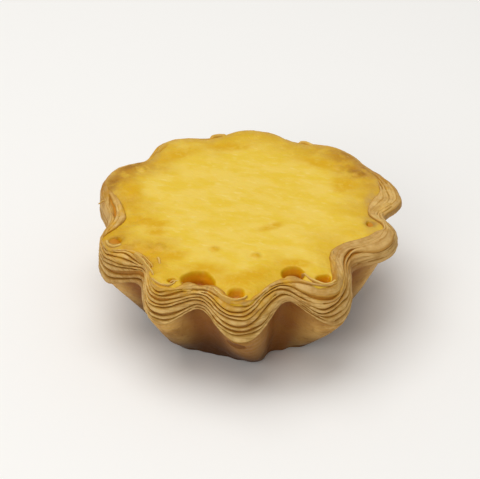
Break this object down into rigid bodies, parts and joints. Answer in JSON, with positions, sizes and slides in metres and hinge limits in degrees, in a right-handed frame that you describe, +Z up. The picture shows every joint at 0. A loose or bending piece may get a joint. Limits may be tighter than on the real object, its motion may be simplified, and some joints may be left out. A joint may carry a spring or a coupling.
{
  "type": "mango tart",
  "caption": "Small fluted puff pastry tart with a flaky layered rim, filled to the brim with baked mango custard.",
  "frame": {"origin": "centre of the flat foot, on the surface the tart stands on", "axes": "+Z up out of the custard, -Y towards the front, +X to the right as seen from the front"},
  "size_m": [0.0878, 0.0898, 0.0322],
  "materials": {
    "baked_pastry": "matte, dry, flaky, golden brown",
    "custard": "moist satin, baked yellow custard"
  },
  "bodies": {
    "root": {"pastry_shell": "baked_pastry", "mango_custard": "custard"}
  },
  "joints": []
}
